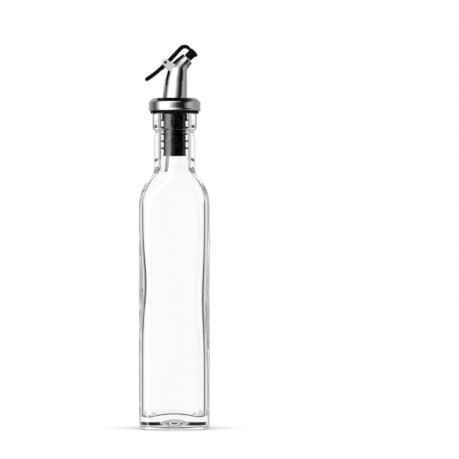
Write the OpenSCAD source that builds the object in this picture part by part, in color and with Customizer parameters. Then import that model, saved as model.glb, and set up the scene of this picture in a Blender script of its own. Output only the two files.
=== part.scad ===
// Square glass oil bottle with a push-in pourer whose thumb lever lifts a sealing cap off the spout.
// Millimetres. Z is up, and the origin is the middle of the base. The spout pours towards +X.

/* [Bottle body] */
// Width of the square body across its flats
body_w = 46.5; // [44:0.5:50]
// Radius of the body's upright corners
corner_r = 8; // [7:0.5:10]
// Sideways reach of the rounded heel
heel_w = 4.6; // [3:0.2:5]
// Height of the rounded heel
heel_h = 4.6; // [4:0.2:6]
// Height at which the shoulder starts
shoulder_z = 146.6; // [140:0.2:150]
// Radius of the shoulder's outward curve
shoulder_r = 29.5; // [26:0.5:32]
// Thickness of the body's walls
wall_t = 3.2; // [2.6:0.1:3.6]
// Thickness of the glass floor
base_t = 6.2; // [4:0.1:7]
// Radius of the hollow under the base
punt_r = 15.5; // [12:0.5:16]
// Height of the hollow under the base
punt_h = 6.2; // [5:0.1:7]

/* [Neck] */
// Outer radius of the neck
neck_r = 13.7; // [13:0.1:14.2]
// Radius of the fillet from the shoulder up into the neck
neck_fillet_r = 7; // [5:0.5:9]
// Radius of the bore
bore_r = 9.15; // [9:0.05:9.5]
// Height of the glass rim
rim_z = 207.5; // [204:0.5:212]
// Outer radius of the bead round the mouth
bead_r = 14.65; // [14.4:0.05:15]
// Height of the bead
bead_h = 11.2; // [8:0.2:12]

/* [Stopper] */
// Outer radius of the rubber sleeve
sleeve_r = 7.35; // [7.2:0.05:7.5]
// Outer radius of the sleeve's thick top
sleeve_top_r = 8.4; // [8.1:0.1:8.6]
// Length of the sleeve below the rim
sleeve_l = 28; // [26:0.5:30]
// Number of sealing fins
fin_count = 5; // [3:1:5]
// Distance from one fin to the next
fin_pitch = 4.62; // [4:0.02:4.8]
// Outer radius of the stiff core inside the sleeve
core_r = 6.3; // [6.2:0.05:6.4]
// Outer radius of the breather tube
breather_r = 1.2; // [1:0.05:1.2]
// Lean of the breather tube
breather_lean = 4; // [3.5:0.5:4.5]

/* [Collar] */
// Thickness of the gasket on the rim
gasket_t = 1.6; // [1.2:0.1:2]
// Outer radius of the gasket
gasket_r = 16; // [15.5:0.1:16.4]
// Outer radius of the steel collar
collar_r = 17.15; // [17:0.05:18]
// Height of the steel collar
collar_h = 8.5; // [8.4:0.1:9.2]
// Width of the bevel round the collar's top
bevel_w = 3.4; // [2.5:0.1:3.6]
// Height of the bevel round the collar's top
bevel_h = 2.6; // [2:0.1:3]

/* [Spout] */
// Radius of the spout's foot
spout_foot_r = 8.15; // [8:0.05:8.3]
// Radius of the spout at its mouth
spout_mouth_r = 4.1; // [4:0.02:4.2]
// Thickness of the spout's steel
spout_t = 0.6; // [0.5:0.05:0.7]
// Radius of the bore that holds the mouth's seat
seat_r = 3.2; // [3:0.05:3.3]

/* [Lever] */
// Distance of the lever's pin behind the bottle's axis
pivot_back = 5.9; // [5.8:0.05:6]
// Height of the lever's pin above the collar
pivot_up = 23.4; // [23.3:0.05:23.5]
// Radius of the pin
pin_r = 1; // [0.9:0.05:1]
// Running clearance round the pin
pin_gap = 0.05; // [0.03:0.01:0.08]
// Width of the lever where it turns between the cheeks, and of its tail
lever_w = 8.8; // [8:0.2:8.8]
// Width of the lever's front arm
arm_w = 6.4; // [5:0.2:7]
// Length of the thumb tail behind the pin
tail_l = 17.8; // [14:0.2:18]
// Turns of the return spring
spring_turns = 3; // [2:1:3]

/* [Hidden] */
$fn = 96;

// Bottle
body_half = body_w / 2;
corner_steps = 8;
heel_steps = 6;
shoulder_steps = 16;
inner_fillet_r = 4;
bore_fillet_r = 24;
floor_dome_h = 6;
floor_dome_r = 26;
neck_overlap = 6;
outer_drop = 1.2;         // the lofts stop this far below the neck, while they are still wider than it
inner_drop = 2.1;
round_top = 0.98;         // the corner radius over the half width where a loft meets the round neck
groove_r = neck_r - 0.6;  // the waist under the bead

// Stopper and collar, from the rim up
sleeve_bottom = rim_z - sleeve_l;
sleeve_skirt = 8.5;
fin_r = bore_r - 0.05;
first_fin_z = rim_z - 4.4;
fin_tip_t = 0.9;
fin_root_t = [0.9, 2.2, 1.8, 1.1, 1.1];
gasket_top = rim_z + gasket_t;
collar_top = gasket_top + collar_h;
collar_t = 0.7;
flange_r = 10;
flange_z = collar_top - collar_t - spout_t;
seal_t = 1.2;
core_flange_r = 12;
core_flange_t = 2.4;
core_top = flange_z - seal_t;
core_bore_r = core_r - 0.8;
insert_top = core_top - core_flange_t;
breather_wall = 0.4;
breather_x = -4.7;        // where the breather's axis crosses the sleeve's lower end
breather_low = 10;
breather_high = 58;
boss_h = 8;

// Spout: the back and front edge of each ring as [x, height above the collar], foot to mouth
tip_angle = 45;
bend_steps = 6;
pivot_z = collar_top + pivot_up;
mouth_u = 12;             // along the tip from the pin to the mouth
mouth_v = -7.95;          // square to the tip, from the pin to the mouth's centre
tip_root_u = 9.4;
tip_root_r = 4.45;
foot_z = -collar_t - 0.3;   // the lofts start inside the flange
back_kink = [-6.4, 12.1];
back_bend = [-4.1, 20.2];
back_corner = [-3.3, 22.4];
front_bend = [spout_foot_r, 17.6];
front_corner = [spout_foot_r, 18.9];
pouring_lip = 0.5;        // how much further the mouth reaches on its lower side

// Lever, in the pin's own frame: u along the spout's tip, v square to it and away from the spout
cheek_y = 4.6;
cheek_t = 0.8;
cheek_r = 2.3;
hub_r = 1.9;
tail_t = 2.4;
arm_t = 2.6;
bend_t = 2.2;
tail_curve_r = 60;
tail_v = -0.4;
arm_v = -0.78;
arm_end = [14, -0.25];
bend_r = 3.5;
eye_u = arm_end[0] + bend_r;
eye_t = 1.1;
eye_r = 3.8;
stem_r = 1.2;
seal_face_gap = 0.1;
window_w = 2.9;
window_l = 4.4;
spring_wire_r = 0.2;
spring_coil_r = 1.85;
spring_pitch = 0.5;
spring_sides = 8;
spring_arc_steps = 16;

function mix(a, b, t) = a + (b - a) * t;
function ease(t) = t * t * (3 - 2 * t);
function bezier(a, b, c, t) = mix(mix(a, b, t), mix(b, c, t), t);
function arc(cx, cy, r, from, to, steps) =
    [for (i = [0:steps]) let(a = mix(from, to, i / steps)) [cx + r * cos(a), cy + r * sin(a)]];

// ---- Bottle ----

// Height at which a shoulder's fillet runs out into the round neck
function neck_start(half, r, big, small) =
    shoulder_z + sqrt(pow(big + small, 2) - pow(r + small - half + big, 2));

// Half width of the shoulder at height z: an outward arc, then a fillet that is tangent to the neck
function shoulder_half(z, half, r, big, small) =
    let(top = neck_start(half, r, big, small),
        touch = shoulder_z + (top - shoulder_z) * big / (big + small))
    z <= shoulder_z ? half
    : z <= touch ? half - big + sqrt(big * big - pow(z - shoulder_z, 2))
    : r + small - sqrt(small * small - pow(top - z, 2));

// Extra glass that the wall carries round its middle, on a side where it is amount thick
function swell(z, amount, middle, spread) = amount * exp(-pow((z - middle) / spread, 2));
function wall_left(z) = wall_t - 0.35 + swell(z, 1.5, 95, 22);
function wall_right(z) = wall_t + 0.3 + swell(z, 0.9, 86, 26);
function wall_front(z) = wall_t + swell(z, 1.2, 88, 26);

// A level ring of points round a rectangle with round corners
function ring(x0, x1, y0, y1, r, z) = [
    for (k = [0:3]) let(cx = (k == 0 || k == 3) ? x1 - r : x0 + r, cy = k < 2 ? y1 - r : y0 + r)
        for (p = arc(cx, cy, r, 90 * k, 90 * k + 90, corner_steps)) [p[0], p[1], z]];
function square_ring(half, r, z) = ring(-half, half, -half, half, r, z);

outer_top = neck_start(body_half, neck_r, shoulder_r, neck_fillet_r);
inner_half = body_half - wall_t;
inner_shoulder_r = shoulder_r - wall_t;
inner_top = neck_start(inner_half, bore_r, inner_shoulder_r, bore_fillet_r);

// Corner radius on the way up the shoulder, from the body's corner to nearly round
function shoulder_corner(z, half, low_r, top) =
    mix(low_r, half * round_top, ease(max(0, min(1, (z - shoulder_z) / (top - shoulder_z)))));

function heel_in(z) = heel_w * (1 - sqrt(1 - pow((heel_h - z) / heel_h, 2)));
heel_rings = [for (i = [0:heel_steps])
    let(z = heel_h * (1 - cos(90 * i / heel_steps)), inset = heel_in(z))
    square_ring(body_half - inset, corner_r - inset, z)];
outer_shoulder_rings = [for (i = [0:shoulder_steps])
    let(z = mix(shoulder_z, outer_top - outer_drop, i / shoulder_steps),
        half = shoulder_half(z, body_half, neck_r, shoulder_r, neck_fillet_r))
    square_ring(half, shoulder_corner(z, half, corner_r, outer_top - outer_drop), z)];

function inner_ring(z, inset) =
    let(half = shoulder_half(z, inner_half, bore_r, inner_shoulder_r, bore_fillet_r),
        fade = 1 - ease(max(0, min(1, (z - shoulder_z) / 12))),
        left = half - (wall_left(z) - wall_t) * fade - inset,
        right = half - (wall_right(z) - wall_t) * fade - inset,
        depth = half - (wall_front(z) - wall_t) * fade - inset,
        low_r = corner_r - wall_t + 1 - inset * 0.5,
        r = shoulder_corner(z, min(left, right, depth), low_r, inner_top - inner_drop))
    ring(-left, right, -depth, depth, r, z);
fillet_rings = [for (i = [0:4])
    let(a = 90 * i / 4) inner_ring(base_t + inner_fillet_r * (1 - cos(a)), inner_fillet_r * (1 - sin(a)))];
wall_z0 = base_t + inner_fillet_r;
wall_rings = [for (i = [1:16]) inner_ring(mix(wall_z0, shoulder_z - 2, i / 16), 0)];
inner_shoulder_rings = [for (i = [1:shoulder_steps])
    inner_ring(mix(shoulder_z, inner_top - inner_drop, i / shoulder_steps), 0)];

// A closed solid through level rings with equal numbers of points, listed from the bottom up
module loft(rings) {
    n = len(rings[0]);
    m = len(rings);
    points = [for (r = rings) each r];
    sides = [for (i = [0:m - 2]) for (j = [0:n - 1])
        let(a = i * n + j, b = i * n + (j + 1) % n) each [[a, a + n, b + n], [a, b + n, b]]];
    bottom = [for (j = [0:n - 1]) j];
    top = [for (j = [0:n - 1]) m * n - 1 - j];
    polyhedron(points = points, faces = concat(sides, [bottom, top]), convexity = 6);
}

// A spherical cap of the given radius and height, standing on z
module dome(r, h, z) {
    ball_r = (r * r + h * h) / (2 * h);
    translate([0, 0, z + h - ball_r]) sphere(r = ball_r);
}

module neck_outside() {
    top_round = 1.2;
    low_round = 1.7;
    bead_z = rim_z - bead_h;
    rotate_extrude() polygon(concat(
        [[0, outer_top - neck_overlap], [neck_r, outer_top - neck_overlap], [neck_r, bead_z - 6]],
        [[groove_r + 0.2, bead_z - 3.4], [groove_r, bead_z - 2.2], [groove_r, bead_z - 0.8]],
        arc(bead_r - low_round, bead_z + low_round, low_round, -75, 0, 5),
        arc(bead_r - top_round, rim_z - top_round, top_round, 0, 90, 5),
        [[0, rim_z]]));
}

module glass_bottle() {
    color([0.86, 0.9, 0.9, 0.45]) difference() {
        union() {
            loft(concat(heel_rings, outer_shoulder_rings));
            neck_outside();
        }
        difference() {
            loft(concat(fillet_rings, wall_rings, inner_shoulder_rings));
            dome(floor_dome_r, floor_dome_h, base_t);
        }
        translate([0, 0, inner_top - neck_overlap]) cylinder(h = rim_z, r = bore_r);
        dome(punt_r, punt_h, 0);
    }
}

module rim_gasket() {
    color([0.06, 0.06, 0.06]) translate([0, 0, rim_z]) difference() {
        cylinder(h = gasket_t, r = gasket_r);
        translate([0, 0, -1]) cylinder(h = gasket_t + 2, r = sleeve_top_r + 0.1);
    }
}

// ---- Pourer: stopper and collar ----

// One sealing fin: a flat top, a thin rim and an underside that slopes back to the sleeve
module fin(z, root_t) {
    translate([0, 0, z]) rotate_extrude() polygon([
        [core_r + 0.3, 0], [fin_r, 0], [fin_r, -fin_tip_t], [sleeve_r, -root_t - 0.2], [core_r + 0.3, -root_t - 0.2]]);
}

module stopper_sleeve() {
    color([0.07, 0.07, 0.07]) difference() {
        union() {
            translate([0, 0, sleeve_bottom]) cylinder(h = sleeve_l + gasket_t, r = sleeve_r);
            translate([0, 0, first_fin_z - 0.3]) cylinder(h = gasket_top - first_fin_z + 0.3, r = sleeve_top_r);
            translate([0, 0, sleeve_bottom]) cylinder(h = 0.8, r = sleeve_r + 0.25);
            for (i = [0:fin_count - 1]) fin(first_fin_z + 0.4 - i * fin_pitch, fin_root_t[i]);
        }
        translate([0, 0, sleeve_bottom - 1]) cylinder(h = sleeve_l + gasket_t + 2, r = core_r);
    }
}

// The line of the breather tube, which leans across the bore towards the spout
module along_breather() {
    translate([breather_x, 0, sleeve_bottom]) rotate([0, breather_lean, 0]) children();
}

module core_tube() {
    color([0.16, 0.16, 0.17]) difference() {
        union() {
            difference() {
                union() {
                    translate([0, 0, sleeve_bottom + sleeve_skirt])
                        cylinder(h = core_top - sleeve_bottom - sleeve_skirt, r = core_r - 0.01);
                    translate([0, 0, insert_top]) cylinder(h = core_flange_t, r = core_flange_r);
                }
                translate([0, 0, sleeve_bottom]) cylinder(h = core_top, r = core_bore_r);
            }
            // boss on the bore's wall that grips the breather tube
            intersection() {
                translate([0, 0, insert_top - boss_h]) cylinder(h = boss_h, r = core_bore_r + 0.5);
                translate([-core_r, -2.3, insert_top - boss_h - 1]) cube([core_r - 1.4, 4.6, boss_h + 2]);
            }
        }
        along_breather() cylinder(h = breather_high, r = breather_r + 0.02);
    }
}

module breather_tube() {
    color([0.62, 0.63, 0.64]) along_breather() translate([0, 0, -breather_low]) difference() {
        cylinder(h = breather_low + breather_high, r = breather_r);
        translate([0, 0, -1]) cylinder(h = breather_low + breather_high + 2, r = breather_r - breather_wall);
    }
}

module collar_insert() {
    color([0.2, 0.2, 0.21]) translate([0, 0, gasket_top]) difference() {
        cylinder(h = insert_top - gasket_top, r = collar_r - collar_t - 0.05);
        translate([0, 0, -1]) cylinder(h = insert_top - gasket_top + 2, r = core_r + 0.05);
    }
}

module collar_shell() {
    inner_r = collar_r - collar_t;
    foot_round = 0.9;
    bevel_turn = 1.1;
    color([0.72, 0.72, 0.72]) rotate_extrude() polygon(concat(
        [[inner_r, gasket_top + 0.2]],
        arc(collar_r - foot_round, gasket_top + 0.2 + foot_round, foot_round, -60, 0, 4),
        arc(collar_r - bevel_turn, collar_top - bevel_h, bevel_turn, 0, 40, 4),
        arc(collar_r - bevel_w, collar_top - bevel_turn, bevel_turn, 40, 90, 4),
        [[spout_foot_r + 0.1, collar_top], [spout_foot_r + 0.1, collar_top - collar_t]],
        [[collar_r - bevel_w - 0.6, collar_top - collar_t], [inner_r, collar_top - bevel_h - 0.4]]));
}

module spout_seal() {
    color([0.1, 0.1, 0.1]) translate([0, 0, core_top]) difference() {
        cylinder(h = seal_t, r = flange_r);
        translate([0, 0, -1]) cylinder(h = seal_t + 2, r = spout_foot_r - spout_t);
    }
}

// ---- Pourer: spout ----

// The pin's frame: children are drawn with x along the spout's tip and z away from it
module at_pivot() {
    translate([-pivot_back, 0, pivot_z]) rotate([0, -tip_angle, 0]) children();
}

// The point (u, v) of the pin's frame, as [x, height above the collar]
function from_pivot(u, v) = [-pivot_back + u * cos(tip_angle) - v * sin(tip_angle),
                             pivot_up + u * sin(tip_angle) + v * cos(tip_angle)];

tip_root_back = from_pivot(tip_root_u, mouth_v + tip_root_r);
tip_root_front = from_pivot(tip_root_u, mouth_v - tip_root_r - pouring_lip);
mouth_back = from_pivot(mouth_u, mouth_v + spout_mouth_r);
mouth_front = from_pivot(mouth_u, mouth_v - spout_mouth_r - pouring_lip);

spout_edges = concat(
    [[[-spout_foot_r, foot_z], [spout_foot_r, foot_z]],
     [[-spout_foot_r, 0.4], [spout_foot_r, 0.4]],
     [mix([-spout_foot_r, 0.4], back_kink, 0.5), [spout_foot_r, 6]],
     [back_kink, [spout_foot_r, 11.4]]],
    [for (i = [0:bend_steps]) let(t = i / bend_steps)
        [bezier(back_bend, back_corner, tip_root_back, t),
         bezier(front_bend, front_corner, tip_root_front, t)]],
    [[mouth_back, mouth_front]]);

// Rings that span each pair of edges, drawn in by the thickness of the steel
function spout_rings(inset, count) = [for (i = [0:count - 1])
    let(edge = spout_edges[i], middle = (edge[0] + edge[1]) / 2, half = (edge[1] - edge[0]) / 2,
        r = norm(half), k = (r - inset) / r)
    [for (j = [0:35]) let(a = 10 * j)
        [middle[0] + half[0] * k * cos(a), (r - inset) * sin(a), collar_top + middle[1] + half[1] * k * cos(a)]]];

module spout_shell() {
    count = len(spout_edges);
    bore_l = 5;
    color([0.8, 0.8, 0.8]) difference() {
        union() {
            loft(spout_rings(0, count));
            translate([0, 0, flange_z]) cylinder(h = spout_t, r = flange_r);
        }
        loft(spout_rings(spout_t, count - 1));
        translate([0, 0, flange_z - 1]) cylinder(h = 1.4, r = spout_foot_r - spout_t - 0.1);
        at_pivot() translate([mouth_u - bore_l, 0, mouth_v]) rotate([0, 90, 0]) cylinder(h = bore_l + 1, r = seat_r);
    }
}

module mouth_seat() {
    seat_l = 2.4;
    seat_bore_r = 2.2;
    color([0.05, 0.05, 0.05]) at_pivot() translate([mouth_u, 0, mouth_v]) rotate([0, 90, 0]) difference() {
        union() {
            translate([0, 0, -seat_l]) cylinder(h = seat_l + 0.2, r = seat_r);
            cylinder(h = 0.2, r = seat_r + 0.4);
        }
        translate([0, 0, -seat_l - 1]) cylinder(h = seat_l + 2, r = seat_bore_r);
    }
}

// ---- Lever ----

// A plate of the given width across Y, cut to an outline of (u, v) points
module plate(points, width, y = 0) {
    translate([0, y, 0]) rotate([90, 0, 0]) linear_extrude(height = width, center = true) polygon(points);
}

module lever_bracket() {
    cheek_outline = concat(arc(0, 0, cheek_r, 0, 155, 12), [[-2.1, -6.9], [3.7, -5.8]]);
    web = [[-2.1, -4.75], [1.3, -2.85], [1.6, -2.25], [1.1, -2.2], [-2.1, -3.98]];
    color([0.74, 0.74, 0.74]) at_pivot() difference() {
        union() {
            for (side = [-1, 1]) plate(cheek_outline, cheek_t, side * (cheek_y + cheek_t / 2));
            plate(web, 2 * cheek_y + 0.2);
        }
        rotate([90, 0, 0]) cylinder(h = 20, r = pin_r, center = true);
    }
}

module pivot_pin() {
    color([0.1, 0.1, 0.1]) at_pivot() rotate([90, 0, 0])
        cylinder(h = 2 * (cheek_y + cheek_t) + 0.5, r = pin_r, center = true);
}

// Centre line of the spring: a leg under the tail, the coil, and a short leg down to the web
function coil_point(a, along) = [spring_coil_r * cos(a), spring_coil_r * sin(a), along];
spring_sweep = 360 * spring_turns - 30;
spring_rise = spring_pitch * spring_sweep / 360;
tail_leg = 5;
web_leg = 1.5;
coil_steps = round(spring_sweep / 360 * spring_arc_steps);
spring_path = concat(
    [[-tail_leg, -spring_coil_r, -spring_rise / 2, -90]],
    [for (i = [0:coil_steps]) let(t = i / coil_steps, a = -90 + spring_sweep * t)
        concat(coil_point(a, spring_rise * (t - 0.5)), [a])],
    [let(a = -90 + spring_sweep, p = coil_point(a, spring_rise / 2))
        [p[0] - web_leg * sin(a), p[1] + web_leg * cos(a), p[2], a]]);

// Each ring lies across the wire, in the coil's radius and the pin's axis
spring_rings = [for (p = spring_path) [for (j = [0:spring_sides - 1])
    let(b = 360 * j / spring_sides, out = spring_wire_r * cos(b))
    [p[0] + out * cos(p[3]), p[1] + out * sin(p[3]), p[2] + spring_wire_r * sin(b)]]];

module return_spring() {
    color([0.6, 0.6, 0.6]) at_pivot() rotate([90, 0, 0]) loft(spring_rings);
}

// One side of the lever's outline, offset by side * half the thickness from its centre line
function lever_side(side) = let(tail_h = side * tail_t / 2, arm_h = side * arm_t / 2) concat(
    [for (i = [0:8]) let(a = asin((tail_l - 3) / tail_curve_r) * (1 - i / 8), r = tail_curve_r - tail_h)
        [-3 - r * sin(a), tail_v + tail_curve_r - r * cos(a)]],
    [[2.4, arm_v + arm_h + 0.1], [arm_end[0], arm_end[1] + arm_h]],
    arc(arm_end[0], arm_end[1] - bend_r, bend_r + side * bend_t / 2, 85, 0, 8),
    [[eye_u + side * eye_t / 2, arm_end[1] - bend_r - 0.5]]);

function reversed(list) = [for (i = [len(list) - 1:-1:0]) list[i]];

// Plan of the lever: wide tail with round ends, narrower front arm
module lever_plan() {
    tail_round = 2.4;
    linear_extrude(height = 60, center = true) union() {
        translate([-tail_l + tail_round - 1, -lever_w / 2]) square([tail_l - tail_round + 4, lever_w]);
        translate([-tail_l - 1, -lever_w / 2 + tail_round]) square([tail_round + 1, lever_w - 2 * tail_round]);
        for (side = [-1, 1]) translate([-tail_l + tail_round - 1, side * (lever_w / 2 - tail_round)])
            circle(r = tail_round);
        translate([0, -arm_w / 2]) square([eye_u + 3, arm_w]);
    }
}

module lever_arm() {
    color([0.08, 0.08, 0.08]) at_pivot() difference() {
        union() {
            intersection() {
                plate(concat(lever_side(1), reversed(lever_side(-1))), 20);
                lever_plan();
            }
            rotate([90, 0, 0]) cylinder(h = lever_w, r = hub_r, center = true);
            translate([eye_u - eye_t / 2, 0, mouth_v]) rotate([0, 90, 0]) cylinder(h = eye_t, r = eye_r);
            translate([eye_u - eye_t / 2, -2.6, mouth_v]) cube([eye_t, 5.2, arm_end[1] - bend_r - 1 - mouth_v]);
        }
        rotate([90, 0, 0]) cylinder(h = 20, r = pin_r + pin_gap, center = true);
        translate([-window_l / 2, -window_w / 2, -5]) cube([window_l, window_w, 10]);
        translate([eye_u - 3, 0, mouth_v]) rotate([0, 90, 0]) cylinder(h = 6, r = stem_r + 0.02);
    }
}

module cap_seal() {
    face_u = mouth_u + 0.2 + seal_face_gap;
    plug_l = eye_u - eye_t / 2 - face_u - 0.01;
    socket_l = 3.1;
    color([0.05, 0.05, 0.05]) at_pivot() translate([face_u, 0, mouth_v]) rotate([0, 90, 0]) difference() {
        rotate_extrude() polygon([[0, 0], [2.3, 0], [2.75, 0.45], [2.8, 3.2], [3.2, plug_l], [0, plug_l]]);
        translate([0, 0, plug_l - socket_l]) cylinder(h = socket_l + 1, r = stem_r + 0.01);
    }
}

module cap_button() {
    head_h = 1.2;
    head_r = 3.6;
    rim_t = 0.35;
    stem_l = 3.8;
    ball_r = (head_r * head_r + pow(head_h - rim_t, 2)) / (2 * (head_h - rim_t));
    crown = asin(head_r / ball_r);
    color([0.09, 0.09, 0.09]) at_pivot() translate([eye_u + eye_t / 2, 0, mouth_v]) rotate([0, 90, 0])
        rotate_extrude() polygon(concat(
            [[0, -stem_l], [stem_r, -stem_l], [stem_r, 0], [head_r, 0]],
            arc(0, head_h - ball_r, ball_r, 90 - crown, 90, 8)));
}

glass_bottle();
rim_gasket();
stopper_sleeve();
core_tube();
breather_tube();
collar_insert();
collar_shell();
spout_seal();
spout_shell();
mouth_seat();
lever_bracket();
pivot_pin();
return_spring();
lever_arm();
cap_seal();
cap_button();
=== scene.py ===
from math import atan2, cos, exp, pi, radians, sin, sqrt, tan

import bpy
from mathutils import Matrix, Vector, noise


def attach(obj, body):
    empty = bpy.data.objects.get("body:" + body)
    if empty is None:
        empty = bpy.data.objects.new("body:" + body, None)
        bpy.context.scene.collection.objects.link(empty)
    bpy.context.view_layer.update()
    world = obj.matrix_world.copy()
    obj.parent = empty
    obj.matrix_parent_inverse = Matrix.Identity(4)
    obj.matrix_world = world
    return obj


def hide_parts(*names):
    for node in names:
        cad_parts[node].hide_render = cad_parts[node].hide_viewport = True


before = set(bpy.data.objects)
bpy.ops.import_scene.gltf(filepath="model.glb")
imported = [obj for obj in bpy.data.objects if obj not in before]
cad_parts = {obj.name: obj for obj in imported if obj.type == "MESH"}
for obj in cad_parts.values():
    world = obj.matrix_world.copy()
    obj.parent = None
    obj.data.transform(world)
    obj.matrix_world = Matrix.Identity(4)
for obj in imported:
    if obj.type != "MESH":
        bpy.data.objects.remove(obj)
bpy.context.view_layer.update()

MM = 0.001
TINY = 1e-6

# ---- Sizes in millimetres, as in part.scad ----

BODY_HALF, CORNER_R = 23.25, 8.0
HEEL_W, HEEL_H = 4.6, 4.6
SHOULDER_Z, SHOULDER_R, NECK_FILLET_R = 146.6, 29.5, 7.0
WALL_T, BASE_T = 3.2, 6.2
LEFT_THINNER, RIGHT_THICKER = 0.35, 0.3
# How each wall swells inwards: (amount, height of its middle, spread)
LEFT_SWELL, RIGHT_SWELL, DEPTH_SWELL = (1.5, 95, 22), (0.9, 86, 26), (1.2, 88, 26)
SWELL_FADE = 12
PUNT_R, PUNT_H = 15.5, 6.2
# The rounded edge of the hollow base: (beyond the hollow's radius, height)
PUNT_EDGE = [(0.0, 0.1), (0.25, 0.02), (0.6, 0.0)]
FLOOR_DOME_R, FLOOR_DOME_H, FLOOR_FADE = 26.0, 6.0, 14
NECK_R, BORE_R, RIM_Z = 13.7, 9.15, 207.5
BEAD_R, BEAD_H, BEAD_LOW_R, BEAD_TOP_R, MOUTH_EDGE_R = 14.65, 11.2, 1.7, 1.2, 0.7
GROOVE_DEPTH, GROOVE_L, GROOVE_SLOPE = 0.6, 6, 4
INNER_FILLET_R, BORE_FILLET_R = 4.0, 24.0

SLEEVE_R, SLEEVE_TOP_R, SLEEVE_L, CORE_R = 7.35, 8.4, 28.0, 6.3
SLEEVE_FOOT_OUT, SLEEVE_FOOT_H = 0.25, 0.8
FIN_R, FIN_PITCH, FIRST_FIN_Z = 9.1, 4.62, 203.1
FIN_ABOVE, FIN_EDGE_T = 0.4, 0.9
FIN_ROOTS = [0.9, 2.2, 1.8, 1.1, 1.1]
GASKET_T, GASKET_R, GASKET_GAP = 1.6, 16.0, 0.1
GASKET_TOP = RIM_Z + GASKET_T
COLLAR_R, COLLAR_H, COLLAR_T = 17.15, 8.5, 0.7
COLLAR_TOP = GASKET_TOP + COLLAR_H
BEVEL_W, BEVEL_H, BEVEL_ANGLE, COLLAR_HOLE_GAP = 3.4, 2.9, 46, 0.1
BREATHER_X, BREATHER_LEAN, BREATHER_R, BREATHER_WALL = -4.7, radians(4), 1.2, 0.4
BREATHER_ENDS = (-10, 58)

SPOUT_FOOT_R, SPOUT_MOUTH_R, SPOUT_T = 8.15, 4.1, 0.6
# The spout's edges in the XZ plane: (x, height above the collar) at the back, the height alone in front
SPOUT_SUNK, SPOUT_FOOT_Z = -0.5, 0.4
BACK_KINK, BACK_BEND, BACK_BEND_PULL = (-6.4, 12.1), (-4.1, 20.2), (-3.3, 22.4)
FRONT_KINK_Z, FRONT_BEND_Z, FRONT_PULL_Z = 11.4, 17.6, 18.9
PIVOT_X, PIVOT_Z, TIP_ANGLE = -5.9, COLLAR_TOP + 23.4, radians(45)
MOUTH_U, MOUTH_V, MOUTH_LIP = 12.0, -7.95, 0.5
TIP_ROOT_U, TIP_ROOT_R = 9.4, 4.45
SEAT_R, SEAT_BORE_R, SEAT_DEPTH, SEAT_LIP_W, SEAT_LIP_T = 3.2, 2.2, 2.4, 0.4, 0.2
PIN_R, PIN_OUT, CHEEK_Y, CHEEK_T, CHEEK_R = 1.0, 0.25, 4.6, 0.8, 2.3
WIRE_R, COIL_R, COIL_PITCH, COIL_SWEEP = 0.2, 1.85, 0.5, 2 * pi * 3 - radians(30)
COIL_END_L, LEG_ASIDE = 1.5, 0.43

LEVER_W, ARM_W, BEND_W, EYE_TAB_W = 8.8, 6.4, 5.6, 5.2
TAIL_L, TAIL_TIP_L, TAIL_START_U, TAIL_V, TAIL_CURVE_R = 17.8, 2.4, -3, -0.4, 60.0
TIP_THINNER, TIP_NARROWER = 0.35, 4.4
TAIL_T, ARM_T, BEND_T, BEND_R = 2.6, 2.8, 2.4, 3.5
ARM_U, ARM_V, ARM_END = 2.4, -0.78, (14.0, -0.25)
HUB_R, HUB_EDGE = 1.9, 0.4
EYE_U, EYE_T, EYE_R, EYE_EDGE = ARM_END[0] + BEND_R, 1.1, 3.8, 0.3
PLUG_U, STEM_R = MOUTH_U + 0.3, 1.2
HEAD_R, HEAD_H, HEAD_RIM = 3.6, 1.2, 0.35


# ---- Small helpers ----

def mix(a, b, t):
    return a + (b - a) * t


def between(a, b, t):
    return tuple(mix(p, q, t) for p, q in zip(a, b))


def ease(t):
    t = min(1.0, max(0.0, t))
    return t * t * (3 - 2 * t)


def arc(cx, cy, r, start, end, steps):
    """Points on an arc, with angles in degrees."""
    return [(cx + r * cos(radians(mix(start, end, i / steps))),
             cy + r * sin(radians(mix(start, end, i / steps)))) for i in range(steps + 1)]


def bezier(a, b, c, t):
    return between(between(a, b, t), between(b, c, t), t)


def at_pin(u, y, v):
    """A point of the pin's frame: u along the spout's tip, v square to it and away from the spout."""
    c, s = cos(TIP_ANGLE), sin(TIP_ANGLE)
    return (PIVOT_X + u * c - v * s, y, PIVOT_Z + u * s + v * c)


def across_pin(x, y, z):
    """Puts a lathe's axis along the pin."""
    return at_pin(x, z, y)


def along_tip(u):
    """Puts a lathe's axis on the mouth's axis, with its zero at u."""
    return lambda x, y, z: at_pin(u + z, y, MOUTH_V + x)


def build(name, shells, material, body, replaces=(), sharp=40.0):
    """One object from closed shells, each a list of points in millimetres and a list of faces."""
    points, faces = [], []
    for shell_points, shell_faces in shells:
        start = len(points)
        points += [tuple(MM * x for x in p) for p in shell_points]
        faces += [tuple(start + i for i in f) for f in shell_faces]
    mesh = bpy.data.meshes.new(name)
    mesh.from_pydata(points, [], faces)
    mesh.validate()
    mesh.shade_smooth()
    mesh.set_sharp_from_angle(angle=radians(sharp))
    mesh.materials.append(material)
    piece = bpy.data.objects.new(name, mesh)
    bpy.context.scene.collection.objects.link(piece)
    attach(piece, body)
    if replaces:
        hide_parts(*replaces)


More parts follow.
